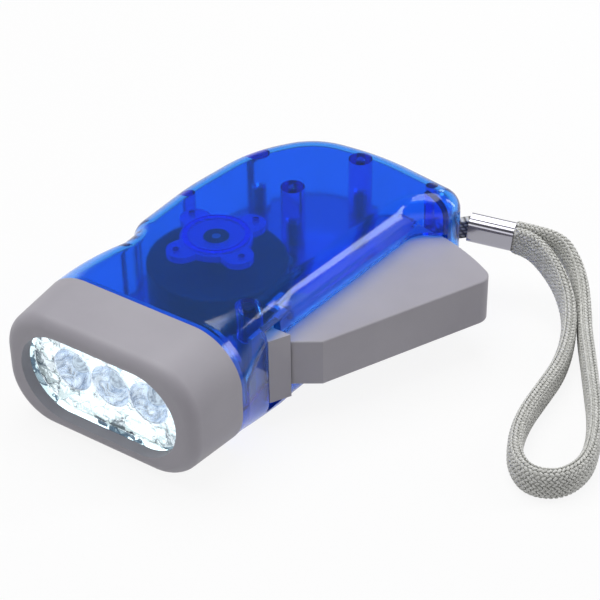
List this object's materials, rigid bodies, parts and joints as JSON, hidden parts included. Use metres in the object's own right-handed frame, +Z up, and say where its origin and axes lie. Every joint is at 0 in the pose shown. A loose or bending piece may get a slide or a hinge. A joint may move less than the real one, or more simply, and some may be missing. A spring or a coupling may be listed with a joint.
{
  "type": "hand crank flashlight",
  "caption": "Hand-squeeze dynamo flashlight: flat translucent housing, grey lamp head behind a clear lens, hinged squeeze lever, flywheel generator and a wrist strap",
  "frame": {"origin": "on the flat resting face, under the middle of the lamp head, level with the flywheel", "axes": "+Z up out of the flashlight's flat side, -Y along the light's beam, +Y toward the tail and the strap, +X toward the squeeze lever"},
  "size_m": [0.1191, 0.1068, 0.03],
  "materials": {
    "blue_shell": "translucent polished blue",
    "blue_bearing_plate": "translucent moulded blue",
    "grey_plastic": "fine textured",
    "clear_lens": "clear polished",
    "black_rubber": "matte",
    "reflector_chrome": "vacuum metallised",
    "board_green": "solder masked",
    "led_epoxy": "clear epoxy, lit",
    "capacitor_sleeve": "shrink sleeve",
    "black_plastic": "moulded",
    "steel": "turned",
    "gear_plastic": "moulded",
    "dark_flywheel": "moulded",
    "magnet": "bonded magnet",
    "core_steel": "pressed sheet",
    "copper": "enamelled wire",
    "lead_insulation": "insulated",
    "strap_braid": "flat braid",
    "ferrule_chrome": "plated"
  },
  "bodies": {
    "housing": {"bottom_shell": "blue_shell", "top_shell": "blue_shell", "bearing_plate": "blue_bearing_plate", "head_bezel": "grey_plastic", "lens": "clear_lens", "lens_gasket": "black_rubber", "reflector": "reflector_chrome", "led_board": "board_green", "led_1": "led_epoxy", "led_2": "led_epoxy", "led_3": "led_epoxy", "smoothing_capacitor": "capacitor_sleeve", "rectifier_diodes": "black_plastic", "lever_pivot_pin": "steel", "return_spring": "steel", "drive_gear_axle": "steel", "flywheel_axle": "steel", "lower_core": "core_steel", "upper_core": "core_steel", "stator_coil": "copper", "stator_bracket": "black_plastic", "bracket_screws": "steel", "coil_leads": "lead_insulation", "bearing_bush": "black_plastic", "housing_screws": "steel", "lanyard_neck": "strap_braid", "lanyard_loop": "strap_braid", "lanyard_ferrule": "ferrule_chrome"},
    "lever": {"lever": "grey_plastic"},
    "lock": {"lock_slider": "grey_plastic"},
    "drive_gear": {"drive_gear": "gear_plastic"},
    "rotor": {"flywheel": "dark_flywheel", "magnet_ring": "magnet", "flywheel_pinion": "gear_plastic"}
  },
  "joints": [
    {"name": "lever_hinge", "type": "hinge", "parent": "housing", "child": "lever", "pos_m": [0.019, -0.0175, 0], "axis": [0, 0, 1], "range_deg": [0, 20], "stiffness_Nm_per_rad": 0.05, "springref_deg": -28.65},
    {"name": "lock_slide", "type": "slide", "parent": "housing", "child": "lock", "axis": [0, 0, -1], "range_m": [0, 0.0024]},
    {"name": "drive_gear_spin", "type": "hinge", "parent": "housing", "child": "drive_gear", "pos_m": [0.00956, 0.00587, 0], "axis": [0, 0, 1], "range_deg": [-152, 4]},
    {"name": "rotor_spin", "type": "hinge", "parent": "housing", "child": "rotor", "pos_m": [-0.0025, 0.0005, 0], "axis": [0, 0, 1], "range_deg": [-10, 515]}
  ],
  "couplings": [
    {"joint": "drive_gear_spin", "follows": "lever_hinge", "ratio": -7.4},
    {"joint": "rotor_spin", "follows": "lever_hinge", "ratio": 25.16}
  ]
}
